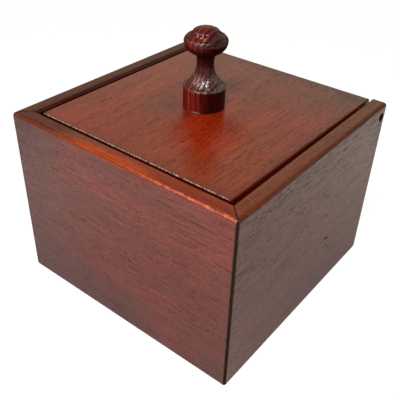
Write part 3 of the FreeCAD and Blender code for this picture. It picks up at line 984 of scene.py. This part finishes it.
class PUZZLEBOX_OT_knob(bpy.types.Operator):
    """Turn the knob with the raised grain of its growth layers"""

    bl_idname = "puzzlebox.knob"
    bl_label = "Turn knob"

    def execute(self, context):
        settings = context.scene.puzzlebox_knob
        axis, profile = turned_profile("knob", settings.level_step)
        foot = profile[0][1]
        neck = foot + settings.neck_height
        mesh = bmesh.new()
        pale_layer = mesh.verts.layers.float.new("layer_tone")
        late_layer = mesh.verts.layers.float.new("late_wood")
        rings = []
        for level, (radius, z) in enumerate(profile):
            below, above = profile[max(level - 1, 0)], profile[min(level + 1, len(profile) - 1)]
            slope = abs(above[0] - below[0]) / math.hypot(above[0] - below[0], above[1] - below[1])
            rough = 0.5 + 2.0 * slope
            if z < neck:
                rough *= 1.3
            bend = settings.layer_bend * max(0.0, z - neck - 1 * MM)
            ring = []
            for step in range(settings.segments):
                angle = 2 * math.pi * step / settings.segments
                out = Vector((math.cos(angle), math.sin(angle), 0.0))
                spot = out * radius
                wander = noise.noise(Vector((spot.x * 60, spot.y * 60, z * 45))) * 0.5 * MM
                across = spot.x + wander - settings.layer_lean * (z - foot) - bend
                pale, share, margin = growth_layer(across / MM)
                beads = grit(Vector((spot.x, spot.y, z)) * 2000)
                beads += 0.8 * grit(Vector((spot.y, z, spot.x)) * 3600)
                sunk = settings.layer_rise * (2 * share - 1) ** 4
                sunk += settings.fibre_rise * grit(Vector((spot.x, spot.y, z * 0.1)) * 1700)
                sunk += settings.bead_rise * rough * beads
                sunk *= min(1.0, radius / (3 * MM))
                sunk -= self.foot_bead(settings, angle, z - foot)
                vert = mesh.verts.new(Vector((axis.x, axis.y, z)) + out * max(radius - sunk, 0.1 * MM))
                vert[pale_layer] = pale
                vert[late_layer] = max(0.0, 1 - margin / (0.40 + 0.45 * slope))
                ring.append(vert)
            rings.append(ring)
        skin_rings(mesh, rings)
        knob = add_piece(context.scene, "turned_knob", mesh, self.finish_wood(settings, axis, foot))
        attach(knob, "knob_set")
        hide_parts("knob")
        return {"FINISHED"}

    def foot_bead(self, settings, angle, height):
        """How far a run of dried lacquer stands out at the front of the knob's foot."""
        middle, reach = math.radians(-75), math.radians(24)
        away = abs((angle - middle + math.pi) % (2 * math.pi) - math.pi)
        along = max(0.0, 1 - (away / reach) ** 2)
        up = max(0.0, 1 - height / (settings.foot_bead * 1.2))
        return settings.foot_bead * along * up

    def finish_wood(self, settings, axis, foot):
        """Dark oily wood, banded by its growth layers, under thick lacquer."""
        material, tree, shader, coords = new_material("knob_wood")
        vector = tree.along_grain(coords["Object"], "Z", (3.0, 8.0, 0.0))
        grain = tree.use_group(timber_grain, {
            "Vector": vector,
            "Figure size": (20.0, 2.5, 2.5),
            "Streak size": (9.0, 0.35, 0.35),
            "Pore size": (1.6, 0.22, 0.22),
        })
        skin = tree.use_group(lacquer_skin, {"Vector": vector})
        relief = tree.minus(tree.times(grain["Streaks"], 0.6), grain["Pores"])
        level = tree.minus(tree.split(coords["Object"])[2], foot)
        neck = settings.neck_height
        over_drum = tree.spread(level, neck - 9 * MM, neck - 6 * MM, 0.45, 1.0)
        handled = tree.times(over_drum, tree.spread(level, neck - 3 * MM, neck + 1 * MM, 1.0, 0.50))
        tree.feed(shader.inputs, {
            "Base Color": self.wood_colour(settings, tree, coords, grain, level, (axis.x, axis.y, foot)),
            "Roughness": tree.plus(0.12, tree.times(skin["Dulled"], 0.06)),
            "Normal": tree.bump(tree.plus(tree.times(skin["Height"], 0.5), relief), 0.06 * MM, 0.8),
            "Specular IOR Level": 0.0,
            "Coat Weight": tree.times(handled, tree.minus(1.0, tree.times(grain["Pores"], 0.4))),
            "Coat Roughness": 0.13,
            "Coat IOR": 1.52,
        })
        return material

    def wood_colour(self, settings, tree, coords, grain, level, foot):
        """Growth layers with pores, a painted orange highlight on the head, painted speckled sheen and dark
        end grain on the slopes, and painted shade under the head and round the neck.
        """
        pale = tree.painted("layer_tone")
        rise = tree.split(coords["Normal"])[2]
        varied = tree.plus(0.65, tree.times(grain["Streaks"], 0.5))
        tone = tree.calc("MULTIPLY", pale, varied, clamp=True)
        # Painted highlight: a small orange hot spot on the head's upper slope.
        fleck = Vector(foot) + Vector((3.1, -5.3, 27.4)) * MM
        hot_spot = tree.spread(tree.vector_value("DISTANCE", coords["Object"], fleck), 1.1 * MM, 0.6 * MM)
        # Painted sheen: grey speckle on the slopes standing in for fine glints, most on the dark layers.
        torn = tree.times(
            tree.spread(tree.speckle(coords["Object"], 1500.0), 0.44, 0.60, 0.10, 1.0),
            tree.spread(rise, 0.15, 0.50, 0.0, 0.60),
            tree.spread(pale, 0.1, 0.6, 1.0, 0.45),
            tree.spread(level, settings.neck_height, settings.neck_height + 5 * MM, 1.0, 0.25))
        # Painted shade round the neck, under the head.
        painted_neck_shade = tree.size_of(tree.minus(level, settings.neck_height + 2 * MM))
        layers = (
            (tone, settings.wood_light),
            (tree.times(grain["Pores"], 0.35), settings.pore_colour),
            (hot_spot, settings.fleck_colour),
            # Painted shade on the faces that turn downwards.
            (tree.spread(rise, -0.10, -0.50, 0.0, 0.45), settings.wood_dark),
            (tree.spread(rise, 0.10, 0.40, 0.0, 0.4), settings.slope_colour),
            (torn, settings.torn_grain),
            (tree.spread(tree.painted("late_wood"), 0.0, 1.0, 0.0, 0.85), settings.line_colour),
            (tree.spread(painted_neck_shade, 6 * MM, 1 * MM, 0.0, 0.65), settings.wood_dark),
        )
        wood = settings.wood_dark
        for share, tint in layers:
            wood = tree.mix(share, wood, tint)
        return wood


class PUZZLEBOX_OT_inner_wood(bpy.types.Operator):
    """Finish the base, the cleats, the latch and the other bare wood inside"""

    bl_idname = "puzzlebox.inner_wood"
    bl_label = "Finish inner wood"

    def execute(self, context):
        settings = context.scene.puzzlebox_inner_wood
        for index, (node, axis) in enumerate(INNER_WOOD.items()):
            offset = (19.0 * index, 7.0 * index, 13.0 * index)
            dress(node, bare_wood(f"{node}_wood", axis, offset, settings))
        return {"FINISHED"}


class PUZZLEBOX_OT_metal(bpy.types.Operator):
    """Finish the brass pins and the steel washer and screw"""

    bl_idname = "puzzlebox.metal"
    bl_label = "Finish metal"

    def execute(self, context):
        settings = context.scene.puzzlebox_metal
        for node, axis in BRASS_PINS.items():
            metal = worked_metal(f"{node}_brass", axis, settings.brass, settings.brass_tarnish)
            dress(node, metal)
        for node, axis in STEEL_PIECES.items():
            metal = worked_metal(f"{node}_steel", axis, settings.steel, settings.steel_tarnish)
            dress(node, metal)
        return {"FINISHED"}


class PUZZLEBOX_OT_stage(bpy.types.Operator):
    """Set up the pale floor, the lamps, the surroundings and the camera"""

    bl_idname = "puzzlebox.stage"
    bl_label = "Set stage"

    def execute(self, context):
        settings = context.scene.puzzlebox_stage
        scene = context.scene
        scene.view_settings.view_transform = "Standard"
        self.lay_floor(scene, settings)
        self.light_surroundings(scene, settings)
        self.hang_lamp(scene, "key_lamp", settings.key_place, settings.key_size, settings.key_power)
        side_lamp = self.hang_lamp(scene, "side_lamp", settings.side_place, settings.side_size,
                                   settings.side_power)
        side_lamp.visible_diffuse = False
        self.stand_camera(scene, settings)
        return {"FINISHED"}

    def lay_floor(self, scene, settings):
        """A round floor that turns up at its edge."""
        outline = [(0.3, 0.0), (0.7, 0.0), (1.1, 0.0), (1.4, 0.03), (1.6, 0.11), (1.75, 0.24), (1.85, 0.40)]
        below = 0.2 * MM
        count = 48
        mesh = bmesh.new()
        centre = mesh.verts.new((0.0, 0.0, -below))
        last = None
        angles = [2 * math.pi * index / count for index in range(count)]
        for radius, height in outline:
            ring = [mesh.verts.new((radius * math.cos(angle), radius * math.sin(angle), height - below))
                    for angle in angles]
            for i in range(count):
                j = (i + 1) % count
                mesh.faces.new((last[i], ring[i], ring[j], last[j]) if last else (centre, ring[i], ring[j]))
            last = ring
        add_piece(scene, "floor", mesh, self.floor_paper(settings))

    def floor_paper(self, settings):
        """Paper that is white to the camera and darker where the box shades it; in the lacquer it is
        dimmer, with painted shadow near the box and beside its right.
        """
        material = bpy.data.materials.new("floor_paper")
        material.use_nodes = True
        material.node_tree.nodes.clear()
        tree = Nodes(material.node_tree)
        rays = tree.place("LightPath").outputs
        mirrored = tree.larger(rays["Is Glossy Ray"], rays["Is Transmission Ray"])
        spot = tree.place("TexCoord").outputs["Object"]
        fibres = tree.speckle(spot, 900.0, 3.0, 0.6)
        tint = tree.mix(fibres, (0.50, 0.50, 0.49, 1.0), (0.54, 0.54, 0.53, 1.0))
        matt = tree.place("BsdfDiffuse", {"Color": tint})
        faint = tree.place("BsdfDiffuse", {"Color": (0.14, 0.14, 0.14, 1.0)})
        bright = tree.place("Emission", {"Color": (1.0, 1.0, 1.0, 1.0), "Strength": 0.95})
        x, y = tree.split(spot)[:2]
        # In the lacquer the glow carries a painted shadow: dimmer near the box and beside its right side,
        # and dimmer towards the rear and the left.
        reach = tree.vector_value("LENGTH", tree.scaled(spot, (1.0, 1.0, 0.0)))
        side = tree.vector_value("DOT_PRODUCT", spot, (0.8, -0.6, 0.0))
        shadow_beside = tree.times(tree.spread(x, 0.105, 0.060), tree.spread(y, -0.060, -0.040))
        glow = tree.times(
            tree.spread(reach, 0.055, 0.16, 0.30, 0.91),
            tree.spread(side, -0.15, -0.02, 0.10, settings.paper_glow),
            tree.spread(y, -0.02, 0.09, 1.0, 0.72),
            tree.spread(x, -0.12, 0.02, 0.88, 1.06),
            tree.spread(shadow_beside, 0.0, 1.0, 1.0, 0.62))
        warm = tree.spread(x, -0.12, 0.02)
        cast = tree.mix(warm, (0.97, 0.95, 0.92, 1.0), (1.0, 0.96, 0.86, 1.0))
        shadowed_glow = tree.place("Emission", {"Color": cast, "Strength": glow})
        white = tree.place("AddShader", {0: faint.outputs[0], 1: bright.outputs[0]})
        pale = tree.place("AddShader", {0: matt.outputs[0], 1: shadowed_glow.outputs[0]})
        met = tree.place("MixShader", {0: mirrored, 1: matt.outputs[0], 2: pale.outputs[0]})
        seen = rays["Is Camera Ray"]
        mixed = tree.place("MixShader", {0: seen, 1: met.outputs[0], 2: white.outputs[0]})
        tree.place("OutputMaterial", {"Surface": mixed.outputs[0]})
        return material

    def light_surroundings(self, scene, settings):
        """Soft light, brightest low at the rear and weak from the right and the front."""
        world = bpy.data.worlds.new("surroundings")
        world.use_nodes = True
        world.node_tree.nodes.clear()
        tree = Nodes(world.node_tree)
        way = tree.place("TexCoord").outputs["Generated"]
        rear = tree.vector_value("DOT_PRODUCT", way, (-0.20, 0.95, 0.20))
        ranges = {"Value": rear, "From Min": -0.3, "From Max": 1.0, "To Min": settings.shade,
                  "To Max": settings.sky}
        strength = tree.place("MapRange", ranges).outputs[0]
        height = tree.split(way)[2]
        glow = tree.times(strength, tree.spread(height, 0.35, 0.70, 1.0, 0.5))
        lit = tree.place("Background", {"Color": (1.0, 0.96, 0.75, 1.0), "Strength": glow})
        tree.place("OutputWorld", {"Surface": lit.outputs[0]})
        scene.world = world

    def hang_lamp(self, scene, name, spot, size, power):
        """A flat lamp that faces the middle of the box."""
        lamp = bpy.data.lights.new(name, "AREA")
        lamp.shape = "RECTANGLE"
        lamp.size, lamp.size_y = size
        lamp.energy = power
        hung = bpy.data.objects.new(name, lamp)
        hung.location = spot
        middle = (CAD_BOX[0] + CAD_BOX[1]) / 2
        hung.rotation_euler = (middle - Vector(spot)).to_track_quat("-Z", "Y").to_euler()
        hung.visible_camera = False
        scene.collection.objects.link(hung)
        return hung

    def stand_camera(self, scene, settings):
        """Stand the camera where the box shows its front, its right side and its lid."""
        turn, lift = settings.azimuth, settings.elevation
        back = Vector((math.sin(turn) * math.cos(lift), -math.cos(turn) * math.cos(lift), math.sin(lift)))
        right = Vector((math.cos(turn), math.sin(turn), 0.0))
        up = back.cross(right)
        tilted_right = right * math.cos(settings.roll) + up * math.sin(settings.roll)
        tilted_up = up * math.cos(settings.roll) - right * math.sin(settings.roll)
        data = bpy.data.cameras.new("camera")
        data.sensor_width = 36.0
        data.lens = settings.lens
        data.clip_start = 0.01
        data.clip_end = 20.0
        camera = bpy.data.objects.new("camera", data)
        spot = (Vector(settings.aim) + back * settings.distance + tilted_right * settings.slide[0]
                + tilted_up * settings.slide[1])
        turned = Matrix((tilted_right, tilted_up, back)).transposed().to_4x4()
        camera.matrix_world = Matrix.Translation(spot) @ turned
        scene.collection.objects.link(camera)
        scene.camera = camera


STEPS = (PUZZLEBOX_OT_walls, PUZZLEBOX_OT_lid, PUZZLEBOX_OT_knob, PUZZLEBOX_OT_inner_wood,
         PUZZLEBOX_OT_metal, PUZZLEBOX_OT_stage)


class PUZZLEBOX_PT_panel(bpy.types.Panel):
    """The steps that finish the box, in order"""

    bl_idname = "PUZZLEBOX_PT_panel"
    bl_label = "Puzzle Box"
    bl_space_type = "VIEW_3D"
    bl_region_type = "UI"
    bl_category = "Puzzle Box"

    def draw(self, context):
        for step in STEPS:
            self.layout.operator(step.bl_idname)


SETTINGS = {
    "puzzlebox_boards": BoardSettings,
    "puzzlebox_knob": KnobSettings,
    "puzzlebox_inner_wood": InnerWoodSettings,
    "puzzlebox_metal": MetalSettings,
    "puzzlebox_stage": StageSettings,
}


def register():
    for made in (*SETTINGS.values(), *STEPS, PUZZLEBOX_PT_panel):
        bpy.utils.register_class(made)
    for name, group in SETTINGS.items():
        setattr(bpy.types.Scene, name, PointerProperty(type=group))


def unregister():
    for name in SETTINGS:
        delattr(bpy.types.Scene, name)
    for made in reversed((*SETTINGS.values(), *STEPS, PUZZLEBOX_PT_panel)):
        bpy.utils.unregister_class(made)


def main():
    register()
    bpy.ops.puzzlebox.walls()
    bpy.ops.puzzlebox.lid()
    bpy.ops.puzzlebox.knob()
    bpy.ops.puzzlebox.inner_wood()
    bpy.ops.puzzlebox.metal()
    bpy.ops.puzzlebox.stage()


if __name__ == "__main__":
    main()
